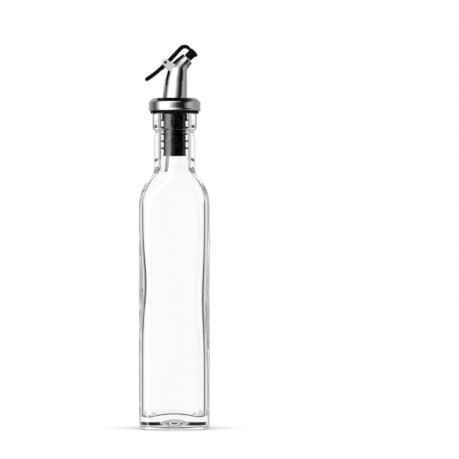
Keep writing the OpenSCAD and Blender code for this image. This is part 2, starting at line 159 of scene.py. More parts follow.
def skin(rings, wrap=False):
    """A shell through rings of points. A ring of one point closes an end; wrap joins the last ring to the
    first."""
    points, starts, faces = [], [], []
    for ring in rings:
        starts.append(len(points))
        points += ring
    pairs = list(zip(range(len(rings) - 1), range(1, len(rings))))
    if wrap:
        pairs.append((len(rings) - 1, 0))
    for a, b in pairs:
        na, nb = len(rings[a]), len(rings[b])
        n = max(na, nb)
        for j in range(n):
            k = (j + 1) % n
            if na == 1:
                faces.append((starts[a], starts[b] + k, starts[b] + j))
            elif nb == 1:
                faces.append((starts[a] + j, starts[a] + k, starts[b]))
            else:
                faces.append((starts[a] + j, starts[a] + k, starts[b] + k, starts[b] + j))
    return points, faces


def lathe(profile, steps=96, place=lambda x, y, z: (x, y, z)):
    """A shell of revolution about Z through (radius, height) points. It wraps unless both ends lie on the
    axis."""
    rings = []
    for r, z in profile:
        if r < TINY:
            rings.append([place(0, 0, z)])
        else:
            rings.append([place(r * cos(2 * pi * j / steps), r * sin(2 * pi * j / steps), z)
                          for j in range(steps)])
    return skin(rings, wrap=profile[0][0] > TINY)


def rounded(corners, radii, steps=6):
    """A closed outline of points with each corner rounded by its radius."""
    out, n = [], len(corners)
    longest = 0.49  # of a side, that one corner may cut off
    for i, (corner, r) in enumerate(zip(corners, radii)):
        p, a, b = Vector(corner), Vector(corners[i - 1]), Vector(corners[(i + 1) % n])
        if r <= 0:
            out.append(tuple(p))
            continue
        da, db = (a - p).normalized(), (b - p).normalized()
        half = da.angle(db) / 2
        cut = min(r / tan(half), longest * (a - p).length, longest * (b - p).length)
        r = cut * tan(half)
        centre = p + (da + db).normalized() * (r / sin(half))
        start, end = p + da * cut - centre, p + db * cut - centre
        a0, a1 = atan2(start.y, start.x), atan2(end.y, end.x)
        turn = (a1 - a0 + pi) % (2 * pi) - pi
        out += [(centre.x + r * cos(a0 + turn * k / steps), centre.y + r * sin(a0 + turn * k / steps))
                for k in range(steps + 1)]
    return out


def plate(outline, y0, y1, edge):
    """A plate across Y with a (u, v) outline in the pin's frame and its two rims rounded off by edge."""
    n = len(outline)
    centre = (sum(p[0] for p in outline) / n, sum(p[1] for p in outline) / n)

    def inset(by):
        out = []
        for i, p in enumerate(outline):
            a, b = Vector(outline[i - 1]), Vector(outline[(i + 1) % n])
            along = (b - a).normalized()
            out.append((p[0] - along.y * by, p[1] + along.x * by))
        return out
    rings = []
    for y, by in ((y0, edge * 1.8), (y0, edge), (y0 + edge * 0.3, edge * 0.3), (y0 + edge, 0),
                  (y1 - edge, 0), (y1 - edge * 0.3, edge * 0.3), (y1, edge), (y1, edge * 1.8)):
        rings.append([at_pin(u, y, v) for u, v in inset(by)])
    return skin([[at_pin(centre[0], y0, centre[1])], *rings, [at_pin(centre[0], y1, centre[1])]])


# ---- Materials ----

def new_material(name):
    material = bpy.data.materials.new(name)
    material.use_nodes = True
    tree = material.node_tree
    return material, tree, tree.nodes["Principled BSDF"]


def grain(tree, size_mm, detail=4.0, stretch=(1, 1, 1)):
    """Noise with blotches of about size_mm, in the object's coordinates, which are in metres."""
    where = tree.nodes.new("ShaderNodeTexCoord")
    mapping = tree.nodes.new("ShaderNodeMapping")
    mapping.inputs["Scale"].default_value = stretch
    tree.links.new(where.outputs["Object"], mapping.inputs["Vector"])
    node = tree.nodes.new("ShaderNodeTexNoise")
    node.inputs["Scale"].default_value = 1000.0 / size_mm
    node.inputs["Detail"].default_value = detail
    node.inputs["Roughness"].default_value = 0.55
    tree.links.new(mapping.outputs["Vector"], node.inputs["Vector"])
    return node.outputs["Fac"]


def ramp(tree, factor, low, high, start=0.35, end=0.65):
    """Factor from start to end mapped to a value from low to high. Noise lies mostly from 0.35 to 0.65."""
    node = tree.nodes.new("ShaderNodeMapRange")
    node.interpolation_type = "SMOOTHSTEP"
    node.inputs["From Min"].default_value = start
    node.inputs["From Max"].default_value = end
    node.inputs["To Min"].default_value = low
    node.inputs["To Max"].default_value = high
    tree.links.new(factor, node.inputs["Value"])
    return node.outputs["Result"]


def blend_tones(tree, factor, tones):
    """A grey between two tones."""
    node = tree.nodes.new("ShaderNodeMix")
    node.data_type = "RGBA"
    for socket, tone in zip(("A", "B"), tones):
        node.inputs[socket].default_value = (tone, tone, tone, 1)
    tree.links.new(factor, node.inputs["Factor"])
    return node.outputs["Result"]


def bump(tree, height, depth_mm):
    node = tree.nodes.new("ShaderNodeBump")
    node.inputs["Strength"].default_value = 1.0
    node.inputs["Distance"].default_value = depth_mm * MM
    tree.links.new(height, node.inputs["Height"])
    return node.outputs["Normal"]


def patchy_material(name, tones, rough, patch_mm, rough_grain, relief_grain, relief_mm):
    """Patches between two grey tones, uneven roughness and a fine relief. A grain is (size_mm, detail,
    stretch), of which the last two may be left out."""
    material, tree, shader = new_material(name)
    patches = ramp(tree, grain(tree, patch_mm), 0.0, 1.0)
    tree.links.new(blend_tones(tree, patches, tones), shader.inputs["Base Color"])
    tree.links.new(ramp(tree, grain(tree, *rough_grain), *rough), shader.inputs["Roughness"])
    tree.links.new(bump(tree, grain(tree, *relief_grain), relief_mm), shader.inputs["Normal"])
    return material, shader


def glass_material():
    material, tree, shader = new_material("clear_glass")
    shader.inputs["Base Color"].default_value = (0.996, 0.998, 0.997, 1)
    shader.inputs["Transmission Weight"].default_value = 1.0
    shader.inputs["IOR"].default_value = 1.51
    shader.inputs["Roughness"].default_value = 0.0
    waves = grain(tree, size_mm=14, detail=2.0, stretch=(1, 1, 0.35))
    tree.links.new(bump(tree, waves, depth_mm=0.008), shader.inputs["Normal"])
    return material


def rubber_material(name, tone):
    material, shader = patchy_material(
        name, tones=(tone, tone * 1.9), rough=(0.34, 0.5), patch_mm=2.5, rough_grain=(1.2,),
        relief_grain=(0.22, 3.0), relief_mm=0.003)
    shader.inputs["Specular IOR Level"].default_value = 0.06
    return material


def plastic_material(name, tone, rough):
    material, shader = patchy_material(
        name, tones=(tone, tone * 1.8), rough=rough, patch_mm=3.0, rough_grain=(0.9,),
        relief_grain=(0.35, 3.0), relief_mm=0.001)
    shader.inputs["Specular IOR Level"].default_value = 0.07
    return material


def steel_material(name, tones, rough, brush=(1, 1, 12), relief_mm=0.0004, metallic=1.0):
    """Steel with fine lines that run round it, where brush squeezes the grain along Z."""
    material, shader = patchy_material(
        name, tones=tones, rough=rough, patch_mm=6.0, rough_grain=(1.6, 5.0, brush),
        relief_grain=(1.5, 6.0, brush), relief_mm=relief_mm)
    shader.inputs["Metallic"].default_value = metallic
    return material


GLASS = glass_material()
RUBBER = rubber_material("black_rubber", tone=0.0015)
DARK_PLASTIC = plastic_material("dark_plastic", tone=0.02, rough=(0.35, 0.5))
BLACK_PLASTIC = plastic_material("black_plastic", tone=0.001, rough=(0.16, 0.24))
CHROME = steel_material("polished_steel", tones=(0.74, 0.82), rough=(0.06, 0.12))
SATIN = steel_material("satin_steel", tones=(0.5, 0.56), rough=(0.5, 0.6), brush=(1, 1, 1),
                       relief_mm=0.0002, metallic=0.35)
TUBE = steel_material("tube_steel", tones=(0.26, 0.34), rough=(0.3, 0.42), metallic=0.6)
BLACK_STEEL = plastic_material("black_steel", tone=0.003, rough=(0.25, 0.4))

for node, material in (("core_tube", DARK_PLASTIC), ("collar_insert", DARK_PLASTIC), ("spout_seal", RUBBER)):
    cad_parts[node].data.materials.clear()
    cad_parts[node].data.materials.append(material)


# ---- Bottle ----

AROUND, CORNER_CROWDING = 192, 0.15
PUNT_STEPS, HEEL_STEPS, BODY_STEPS, SHOULDER_STEPS = 12, 12, 36, 40
GROOVE_STEPS, BORE_STEPS, WALL_STEPS, FILLET_STEPS, FLOOR_STEPS = 6, 12, 44, 10, 9
RIPPLE, RIPPLE_LOW, RIPPLE_HIGH, RIPPLE_FADE = 0.25, 12, 150, 20
RIPPLES_ACROSS, RIPPLES_UP, RIPPLE_OFFSET = 0.045, 0.02, 7.3


def neck_start(half, r, big, small):
    """Height where the fillet (small) above the shoulder's arc (big) reaches the neck's radius r."""
    return SHOULDER_Z + sqrt((big + small) ** 2 - (r + small - half + big) ** 2)


def shoulder_half(z, half, r, big, small):
    """Half width of the shoulder: an outward arc, then a fillet tangent to the neck."""
    top = neck_start(half, r, big, small)
    touch = SHOULDER_Z + (top - SHOULDER_Z) * big / (big + small)
    if z <= SHOULDER_Z:
        return half
    if z <= touch:
        return half - big + sqrt(max(0.0, big * big - (z - SHOULDER_Z) ** 2))
    return r + small - sqrt(max(0.0, small * small - (top - z) ** 2))


def swell(z, amount, middle, spread):
    return amount * exp(-((z - middle) / spread) ** 2)


def square_ring(left, right, front, back, r, z):
    """A level ring round a rectangle with round corners, with more points at its corners."""
    cx, cy, hx, hy = (right - left) / 2, (back - front) / 2, (left + right) / 2, (front + back) / 2
    r = min(r, hx, hy)
    kx, ky = hx - r, hy - r
    out = []
    for j in range(AROUND):
        turn = 2 * pi * j / AROUND
        turn += CORNER_CROWDING * sin(4 * turn)
        c, s = cos(turn), sin(turn)
        ac, as_ = abs(c), abs(s)
        if ac > TINY and hx / ac * as_ <= ky:
            t = hx / ac
        elif as_ > TINY and hy / as_ * ac <= kx:
            t = hy / as_
        else:
            b = ac * kx + as_ * ky
            t = b + sqrt(max(0.0, b * b - kx * kx - ky * ky + r * r))
        out.append((cx + t * c, cy + t * s, z))
    return out


def even_ring(half, r, z):
    return square_ring(half, half, half, half, r, z)


def circle(r, z):
    return even_ring(r, r, z) if r > TINY else [(0, 0, z)]


def circles(profile):
    return [circle(r, z) for r, z in profile]


OUTER_TOP = neck_start(BODY_HALF, NECK_R, SHOULDER_R, NECK_FILLET_R)
INNER_HALF, INNER_SHOULDER_R = BODY_HALF - WALL_T, SHOULDER_R - WALL_T
INNER_CORNER_R = CORNER_R - WALL_T + 1
INNER_TOP = neck_start(INNER_HALF, BORE_R, INNER_SHOULDER_R, BORE_FILLET_R)


def dome_z(r, reach, height):
    """Height at radius r of a dome with this reach and height."""
    ball = (reach * reach + height * height) / (2 * height)
    return height - ball + sqrt(ball * ball - r * r)


def outer_rings():
    """The outside, from the middle of the hollow base up to the rim."""
    hollow = [PUNT_R * k / PUNT_STEPS for k in range(PUNT_STEPS)]
    rings = circles([(r, dome_z(r, PUNT_R, PUNT_H)) for r in hollow])
    rings += circles([(PUNT_R + beyond, z) for beyond, z in PUNT_EDGE])
    foot, low, low_r = PUNT_R + PUNT_EDGE[-1][0], BODY_HALF - HEEL_W, CORNER_R - HEEL_W
    rings += [even_ring(mix(foot, low, t), mix(foot, low_r, t), 0.0) for t in (0.35, 0.7)]
    for i in range(HEEL_STEPS + 1):
        z = HEEL_H * (1 - cos(radians(90 * i / HEEL_STEPS)))
        inset = HEEL_W * (1 - sqrt(max(0.0, 1 - ((HEEL_H - z) / HEEL_H) ** 2)))
        rings.append(even_ring(BODY_HALF - inset, CORNER_R - inset, z))
    rings += [even_ring(BODY_HALF, CORNER_R, mix(HEEL_H, SHOULDER_Z, i / BODY_STEPS))
              for i in range(1, BODY_STEPS + 1)]
    for i in range(1, SHOULDER_STEPS + 1):
        t = i / SHOULDER_STEPS
        z = mix(SHOULDER_Z, OUTER_TOP, t)
        half = shoulder_half(z, BODY_HALF, NECK_R, SHOULDER_R, NECK_FILLET_R)
        rings.append(even_ring(half, mix(CORNER_R, half, ease(t)), z))
    bead_z = RIM_Z - BEAD_H
    groove_r, groove_z = NECK_R - GROOVE_DEPTH, bead_z - GROOVE_L
    rings += circles([(NECK_R, z) for z in (OUTER_TOP + 4, OUTER_TOP + 9, groove_z)])
    for i in range(1, GROOVE_STEPS + 1):
        r = mix(NECK_R, groove_r, ease(i / GROOVE_STEPS))
        rings.append(circle(r, groove_z + GROOVE_SLOPE * i / GROOVE_STEPS))
    rings += circles([(groove_r, bead_z - 0.6)])
    rings += circles(arc(BEAD_R - BEAD_LOW_R, bead_z + BEAD_LOW_R, BEAD_LOW_R, -80, 0, 9))
    rings += circles([(BEAD_R, bead_z + 4), (BEAD_R, bead_z + 7)])
    rings += circles(arc(BEAD_R - BEAD_TOP_R, RIM_Z - BEAD_TOP_R, BEAD_TOP_R, 0, 90, 8))
    return rings


def inner_ring(z, inset=0.0):
    half = shoulder_half(z, INNER_HALF, BORE_R, INNER_SHOULDER_R, BORE_FILLET_R)
    fade = 1 - ease((z - SHOULDER_Z) / SWELL_FADE)
    left = half - (swell(z, *LEFT_SWELL) - LEFT_THINNER) * fade - inset
    right = half - (swell(z, *RIGHT_SWELL) + RIGHT_THICKER) * fade - inset
    depth = half - swell(z, *DEPTH_SWELL) * fade - inset
    low_r = INNER_CORNER_R - inset * 0.5
    t = (z - SHOULDER_Z) / (INNER_TOP - SHOULDER_Z)
    r = mix(low_r, min(left, right, depth), ease(t))
    return square_ring(left, right, depth, depth, r, z)


def inner_rings():
    """The inside, from the rim down to the middle of the floor."""
    bore_z = RIM_Z - MOUTH_EDGE_R
    rings = circles(arc(BORE_R + MOUTH_EDGE_R, bore_z, MOUTH_EDGE_R, 90, 180, 6))
    rings += circles([(BORE_R, mix(bore_z, INNER_TOP, i / BORE_STEPS)) for i in range(1, BORE_STEPS)])
    rings += [inner_ring(mix(INNER_TOP, SHOULDER_Z, i / SHOULDER_STEPS)) for i in range(SHOULDER_STEPS + 1)]
    wall_z = BASE_T + INNER_FILLET_R
    rings += [inner_ring(mix(SHOULDER_Z, wall_z, i / WALL_STEPS)) for i in range(1, WALL_STEPS + 1)]
    for i in range(1, FILLET_STEPS + 1):
        a = radians(90 - 90 * i / FILLET_STEPS)
        rings.append(inner_ring(BASE_T + INNER_FILLET_R * (1 - cos(a)), INNER_FILLET_R * (1 - sin(a))))
    middle = INNER_HALF - INNER_FILLET_R
    rings += circles([(middle * k / FLOOR_STEPS, BASE_T) for k in range(FLOOR_STEPS - 1, -1, -1)])
    return [[(x, y, z + floor_lift(x, y, z)) for x, y, z in ring] for ring in rings]


def floor_lift(x, y, z):
    """The floor is pushed up in the middle, and lowest at the four corners."""
    r = min(FLOOR_DOME_R, sqrt(x * x + y * y))
    return dome_z(r, FLOOR_DOME_R, FLOOR_DOME_H) * (1 - ease((z - BASE_T) / FLOOR_FADE))


def ripple(ring):
    """Slight waves of blown glass, on the upright faces of the body only."""
    out = []
    for x, y, z in ring:
        reach = max(TINY, sqrt(x * x + y * y))
        fade = ease((z - RIPPLE_LOW) / RIPPLE_FADE) * (1 - ease((z - RIPPLE_HIGH) / RIPPLE_FADE))
        wave = noise.noise(Vector((x * RIPPLES_ACROSS, y * RIPPLES_ACROSS, z * RIPPLES_UP + RIPPLE_OFFSET)))
        shift = RIPPLE * fade * wave
        out.append((x + x / reach * shift, y + y / reach * shift, z))
    return out


glass_rings = outer_rings() + [ripple(ring) for ring in inner_rings()]
build("bottle_glass", [skin(glass_rings)], GLASS, "bottle", ["glass_bottle"], sharp=60)


# ---- Stopper and collar ----

gasket_hole_r = SLEEVE_TOP_R + GASKET_GAP
build("gasket_ring", [lathe(rounded(
    [(gasket_hole_r, RIM_Z), (GASKET_R, RIM_Z), (GASKET_R, GASKET_TOP), (gasket_hole_r, GASKET_TOP)],
    [0.1, 0.5, 0.5, 0.1]))], RUBBER, "gasket", ["rim_gasket"])


def sleeve_profile():
    """Outline of the sleeve from its inside top, down the bore and back up over the fins."""
    bottom, foot_r = RIM_Z - SLEEVE_L, SLEEVE_R + SLEEVE_FOOT_OUT
    top_fin_z = FIRST_FIN_Z + FIN_ABOVE
    corners = [(CORE_R, GASKET_TOP), (CORE_R, bottom), (foot_r, bottom), (foot_r, bottom + SLEEVE_FOOT_H),
               (SLEEVE_R, bottom + SLEEVE_FOOT_H + 0.3)]
    radii = [0.1, 0.35, 0.45, 0.2, 0.1]
    for i in reversed(range(len(FIN_ROOTS))):
        z = top_fin_z - i * FIN_PITCH
        corners += [(SLEEVE_R, z - FIN_ROOTS[i] - 0.2), (FIN_R, z - FIN_EDGE_T), (FIN_R, z)]
        radii += [0.25, 0.3, 0.3]
        if i:
            corners.append((SLEEVE_R, z))
            radii.append(0.25)
    corners += [(SLEEVE_TOP_R, top_fin_z), (SLEEVE_TOP_R, GASKET_TOP)]
    radii += [0.2, 0.1]
    return rounded(corners, radii, 4)


build("sleeve_rubber", [lathe(sleeve_profile())], RUBBER, "pourer", ["stopper_sleeve"])


def breather_point(x, y, z):
    """The breather leans across the bore about Y."""
    c, s = cos(BREATHER_LEAN), sin(BREATHER_LEAN)
    return (BREATHER_X + x * c + z * s, y, RIM_Z - SLEEVE_L - x * s + z * c)


breather_bore_r = BREATHER_R - BREATHER_WALL
breather_low, breather_high = BREATHER_ENDS
build("breather_pipe", [lathe(rounded(
    [(breather_bore_r, breather_low), (BREATHER_R, breather_low), (BREATHER_R, breather_high),
     (breather_bore_r, breather_high)], [0.16, 0.16, 0.1, 0.1]), 40, breather_point)],
    TUBE, "pourer", ["breather_tube"])


def collar_profile():
    """Outline of the collar: up its outside over the lip, side and bevel to its hole, and back inside."""
    inside_r, side_r = COLLAR_R - COLLAR_T, COLLAR_R - 0.12
    lip_r, bevel_low_r, bevel_top_r, hole_edge_r = 0.35, 0.8, 1.1, 0.35
    flat_r, hole_r, under_top = 11.5, SPOUT_FOOT_R + COLLAR_HOLE_GAP, COLLAR_TOP - COLLAR_T
    return (
        [(inside_r, GASKET_TOP + 0.35), (inside_r + 0.12, GASKET_TOP + 0.22)]
        + arc(COLLAR_R - lip_r, GASKET_TOP + 0.55, lip_r, -90, 0, 6)
        + [(COLLAR_R, GASKET_TOP + 1.1)] + [(side_r, GASKET_TOP + up) for up in (1.35, 1.6, 4.6)]
        + arc(side_r - bevel_low_r, COLLAR_TOP - BEVEL_H, bevel_low_r, 0, BEVEL_ANGLE, 8)
        + arc(COLLAR_R - BEVEL_W, COLLAR_TOP - bevel_top_r, bevel_top_r, BEVEL_ANGLE, 90, 8)
        + [(flat_r, COLLAR_TOP)]
        + arc(hole_r + hole_edge_r, COLLAR_TOP - hole_edge_r, hole_edge_r, 90, 180, 5)
        + [(hole_r, under_top), (COLLAR_R - BEVEL_W - 0.6, under_top),
           (inside_r, COLLAR_TOP - BEVEL_H - 0.4)])


build("collar_steel", [lathe(collar_profile(), 160)],
      CHROME, "pourer", ["collar_shell"], sharp=50)


# ---- Spout ----

def from_pin(u, v):
    """(x, height above the collar) of a point of the pin's frame."""
    x, _, z = at_pin(u, 0, v)
    return (x, z - COLLAR_TOP)


def spout_edges():
    """Back and front edge of each ring, from the foot to the mouth, as (x, height above the collar)."""
    root_back = from_pin(TIP_ROOT_U, MOUTH_V + TIP_ROOT_R)
    root_front = from_pin(TIP_ROOT_U, MOUTH_V - TIP_ROOT_R - MOUTH_LIP)
    mouth_back = from_pin(MOUTH_U, MOUTH_V + SPOUT_MOUTH_R)
    mouth_front = from_pin(MOUTH_U, MOUTH_V - SPOUT_MOUTH_R - MOUTH_LIP)
    edges = [((-SPOUT_FOOT_R, SPOUT_SUNK), (SPOUT_FOOT_R, SPOUT_SUNK))]
    for low, high, front_low, front_high, steps in (
            ((-SPOUT_FOOT_R, SPOUT_FOOT_Z), BACK_KINK, SPOUT_FOOT_Z, FRONT_KINK_Z, 14),
            (BACK_KINK, BACK_BEND, FRONT_KINK_Z, FRONT_BEND_Z, 8)):
        for t in [i / steps for i in range(steps)]:
            edges.append((between(low, high, t), (SPOUT_FOOT_R, mix(front_low, front_high, t))))
    bend_steps = 24
    for t in [i / bend_steps for i in range(bend_steps + 1)]:
        edges.append((bezier(BACK_BEND, BACK_BEND_PULL, root_back, t),
                      bezier((SPOUT_FOOT_R, FRONT_BEND_Z), (SPOUT_FOOT_R, FRONT_PULL_Z), root_front, t)))
    for t in (0.35, 0.7, 1.0):
        edges.append((between(root_back, mouth_back, t), between(root_front, mouth_front, t)))
    return edges


def spout_ring(edge, inset, sides=96):
    """A ring as wide across Y as it is long from its back edge to its front edge, less the inset."""
    back, front = edge
    mx, mz = (back[0] + front[0]) / 2, (back[1] + front[1]) / 2
    hx, hz = (front[0] - back[0]) / 2, (front[1] - back[1]) / 2
    r = sqrt(hx * hx + hz * hz)
    k = (r - inset) / r
    return [(mx + hx * k * cos(2 * pi * j / sides), (r - inset) * sin(2 * pi * j / sides),
             COLLAR_TOP + mz + hz * k * cos(2 * pi * j / sides)) for j in range(sides)]


edges = spout_edges()
spout_rings = [spout_ring(e, 0.0) for e in edges] + [spout_ring(e, SPOUT_T) for e in reversed(edges)]
build("spout_steel", [skin(spout_rings, wrap=True)],
      CHROME, "pourer", ["spout_shell"], sharp=50)

lip_r = SEAT_R + SEAT_LIP_W
build("seat_ring", [lathe(rounded(
    [(SEAT_BORE_R, SEAT_LIP_T), (SEAT_BORE_R, -SEAT_DEPTH), (SEAT_R, -SEAT_DEPTH), (SEAT_R, 0), (lip_r, 0),
     (lip_r, SEAT_LIP_T)], [0.12, 0.1, 0.1, 0, 0.05, 0.08]), 64, along_tip(MOUTH_U))],
    RUBBER, "pourer", ["mouth_seat"])


# ---- Bracket, pin and spring ----

cheek = arc(0, 0, CHEEK_R, -12, 168, 20)
cheek += rounded([(-2.2, -3.0), (-2.1, -6.9), (3.7, -5.8), (2.6, -2.0)], [0, 0.25, 0.25, 0], 3)
web = [(-2.1, -4.75), (1.3, -2.85), (1.6, -2.25), (1.1, -2.2), (-2.1, -3.98)]  # joins the two cheeks
bracket = []
for side in (-1, 1):
    cheek_middle = side * (CHEEK_Y + CHEEK_T / 2)
    bracket.append(plate(cheek, cheek_middle - CHEEK_T / 2, cheek_middle + CHEEK_T / 2, 0.16))
bracket.append(plate(web, -CHEEK_Y - 0.1, CHEEK_Y + 0.1, 0.02))
build("bracket_cheeks", bracket, SATIN, "pourer", ["lever_bracket"])

pin_half = CHEEK_Y + CHEEK_T + PIN_OUT
pin_end = [(0, pin_half), (0.55, pin_half - 0.02), (0.85, pin_half - 0.08), (PIN_R, pin_half - 0.22)]
pin_profile = [(r, -z) for r, z in pin_end] + pin_end[::-1]
build("pin_rod", [lathe(pin_profile, 48, across_pin)], BLACK_STEEL, "pourer", ["pivot_pin"])


def wire(path, sides=10):
    """A round wire along points (u, v, y) of the pin's frame, with closed ends."""
    line = [Vector(at_pin(u, y, v)) for u, v, y in path]
    rings, across = [], Vector((0, 1, 0))
    for i, p in enumerate(line):
        ahead = (line[min(i + 1, len(line) - 1)] - line[max(i - 1, 0)]).normalized()
        across = (across - ahead * across.dot(ahead)).normalized()
        up = ahead.cross(across)
        rings.append([tuple(p + WIRE_R * (across * cos(2 * pi * j / sides) + up * sin(2 * pi * j / sides)))
                      for j in range(sides)])
    return skin([[tuple(line[0])], *rings, [tuple(line[-1])]])


coil_rise = COIL_PITCH * COIL_SWEEP / (2 * pi)


def spring_coil():
    """Three turns less 30 degrees round the pin, with a straight end that runs on from the last turn."""
    steps = 140
    coil = []
    for t in [i / steps for i in range(steps + 1)]:
        a = -pi / 2 + COIL_SWEEP * t
        coil.append((COIL_R * cos(a), COIL_R * sin(a), -coil_rise * (t - 0.5)))
    end_a = -pi / 2 + COIL_SWEEP
    coil.append((coil[-1][0] - COIL_END_L * sin(end_a), coil[-1][1] + COIL_END_L * cos(end_a), -coil_rise / 2))
    return coil


leg_y = coil_rise / 2 + LEG_ASIDE
build("spring_coil", [wire(spring_coil())], TUBE, "pourer", ["return_spring"])
build("spring_leg", [wire([(u, -COIL_R, leg_y) for u in (-5, -2.5, -0.1)])], TUBE, "lever")


# ---- Lever and cap ----

def lever_line():
    """(u, v, thickness, width) along the lever from the tip of its tail to its eye."""
    stations = []
    reach, tail_steps, bend_steps = TAIL_L + TAIL_START_U, 18, 8
    for i in range(tail_steps + 1):
        s = reach * (1 - i / tail_steps)
        turn = s / TAIL_CURVE_R
        tip = max(0.0, s - (reach - TAIL_TIP_L)) / TAIL_TIP_L
        stations.append((TAIL_START_U - TAIL_CURVE_R * sin(turn), TAIL_V + TAIL_CURVE_R * (1 - cos(turn)),
                         TAIL_T * (1 - TIP_THINNER * tip ** 3),
                         LEVER_W - TIP_NARROWER * (1 - sqrt(max(0, 1 - tip * tip)))))
    neck_t, arm_start_v = ARM_T - 0.1, ARM_V + 0.1
    for u, t, w in ((-1.5, TAIL_T, LEVER_W), (0.0, TAIL_T, LEVER_W), (1.6, ARM_T, LEVER_W - 0.3),
                    (3.0, ARM_T, ARM_W + 0.9), (4.6, ARM_T, ARM_W), (9.0, ARM_T, ARM_W), (12.5, neck_t, ARM_W)):
        if u < ARM_U:
            v = mix(TAIL_V, arm_start_v, (u - TAIL_START_U) / (ARM_U - TAIL_START_U))
        else:
            v = mix(arm_start_v, ARM_END[1], (u - ARM_U) / (ARM_END[0] - ARM_U))
        stations.append((u, v, t, w))
    for i in range(bend_steps + 1):
        t = i / bend_steps
        a = radians(90 - 90 * t)
        stations.append((ARM_END[0] + BEND_R * cos(a), ARM_END[1] - BEND_R + BEND_R * sin(a),
                         mix(neck_t, BEND_T, t), mix(ARM_W, BEND_W, t)))
    stations += [(EYE_U, ARM_END[1] - BEND_R - 1.2, 1.3, EYE_TAB_W), (EYE_U, MOUTH_V + 1.0, EYE_T, EYE_TAB_W)]
    return stations


def blade(stations, sides=40, squareness=0.35):
    """A bar through the stations, whose section is an oval flattened to nearly flat faces."""
    rings = []
    for i, (u, v, t, w) in enumerate(stations):
        a, b = stations[max(0, i - 1)], stations[min(len(stations) - 1, i + 1)]
        along = Vector((b[0] - a[0], b[1] - a[1])).normalized()
        ring = []
        for j in range(sides):
            turn = 2 * pi * j / sides
            c, s = cos(turn), sin(turn)
            y = w / 2 * (abs(c) ** squareness) * (1 if c > 0 else -1)
            h = t / 2 * (abs(s) ** squareness) * (1 if s > 0 else -1)
            ring.append(at_pin(u - along.y * h, y, v + along.x * h))
        rings.append(ring)
    first, final = stations[0], stations[-1]
    return skin([[at_pin(first[0] - 0.02, 0, first[1])], *rings, [at_pin(final[0], 0, final[1])]])


def disc(r, length, edge):
    """Outline of a disc about its middle, with its edges cut off."""
    half = length / 2
    return [(0, -half), (r - edge, -half), (r, edge - half), (r, half - edge), (r - edge, half), (0, half)]


hub = lathe(disc(HUB_R, LEVER_W, HUB_EDGE), 48, across_pin)
eye = lathe(disc(EYE_R, EYE_T, EYE_EDGE), 64, along_tip(EYE_U))
build("lever_blade", [blade(lever_line()), hub, eye], BLACK_PLASTIC, "lever", ["lever_arm"])

plug_l = EYE_U - EYE_T / 2 - PLUG_U
plug = rounded([(2.3, 0), (2.8, 0.5), (2.85, 3.2), (3.2, plug_l), (STEM_R, plug_l)], [0.2, 0.2, 0.6, 0.1, 0], 4)
build("cap_plug", [lathe([(0, 0)] + plug[:-1] + [(0, plug_l)], 64, along_tip(PLUG_U))],
      RUBBER, "lever", ["cap_seal"])

head_dome_h = HEAD_H - HEAD_RIM
head = [(0, -0.3), (2.0, -0.3), (2.0, 0.0), (HEAD_R - 0.1, 0.0), (HEAD_R, 0.12), (HEAD_R - 0.02, 0.36)]
head += [(r, HEAD_RIM + dome_z(r, HEAD_R, head_dome_h)) for r in (HEAD_R * k / 10 for k in range(9, -1, -1))]
build("cap_dome", [lathe(head, 64, along_tip(EYE_U + EYE_T / 2))],
      BLACK_PLASTIC, "lever", ["cap_button"])


# ---- Studio: a white floor, and a sky that stands for softboxes and dark cards ----

FLOOR_HALF, FLOOR_Z = 0.8, -0.00002
SKY_FOR_DIFFUSE, SKY_FOR_CAMERA = 1.5, 1.0
# A ray that has passed more surfaces of the glass than this has gone right through the bottle
PAST_SURFACES = 2.5

# Brightness round the horizon, as (bearing in degrees, brightness). Bearing 0 is towards the camera, and +90
# is the side that the spout points to. First, what polished and black surfaces mirror.
MIRRORED = [
    (-180, 0.14), (-150, 0.17), (-125, 0.1), (-104, 0.045), (-97, 0.035), (-85, 0.11), (-73, 0.3), (-60, 0.5),
    (-38, 0.5), (-25, 0.38), (-16, 0.24), (-8, 0.13), (0, 0.075), (8, 0.025), (16, 0.005), (24, 0.002),
    (36, 0.002), (44, 0.012), (52, 0.063), (60, 0.13), (68, 0.17), (80, 0.155), (100, 0.11), (150, 0.13),
    (180, 0.14)]
# What shows right through the bottle
PAST = [
    (-180, 1.04), (-128, 1.04), (-118, 0.35), (-98, 0.3), (-90, 1.0), (-60, 1.0), (-50, 0.75), (-30, 0.75),
    (-20, 1.0), (20, 1.0), (30, 0.75), (50, 0.75), (60, 1.0), (90, 1.0), (98, 0.3), (118, 0.35), (128, 1.04),
    (180, 1.04)]
# What shows within one wall, after one or two surfaces. It gives the outline and the base their dark lines.
INSIDE = [
    (-180, 1.0), (-150, 1.0), (-140, 0.5), (-122, 0.5), (-116, 0.1), (-80, 0.1), (-72, 1.0), (-60, 1.0),
    (-8, 0.4), (6, 0.0), (60, 0.0), (72, 1.0), (80, 0.12), (116, 0.12), (122, 0.6), (144, 0.6), (154, 1.0),
    (180, 1.0)]
# What the smooth glass mirrors
GLINT = [
    (-180, 0.95), (-100, 0.95), (-90, 0.3), (-70, 0.1), (-56, 0.1), (-46, 3.4), (-36, 6.5), (-24, 5.0),
    (-14, 0.3), (-8, 0.02), (6, 0.0), (60, 0.0), (90, 0.3), (100, 0.95), (180, 0.95)]
# Where a low dark card stands behind the bottle: 1 where it does, and 0 where it doesn't
LOW_CARD = [(-180, 1.0), (-156, 1.0), (-148, 0.0), (142, 0.0), (150, 1.0), (180, 1.0)]


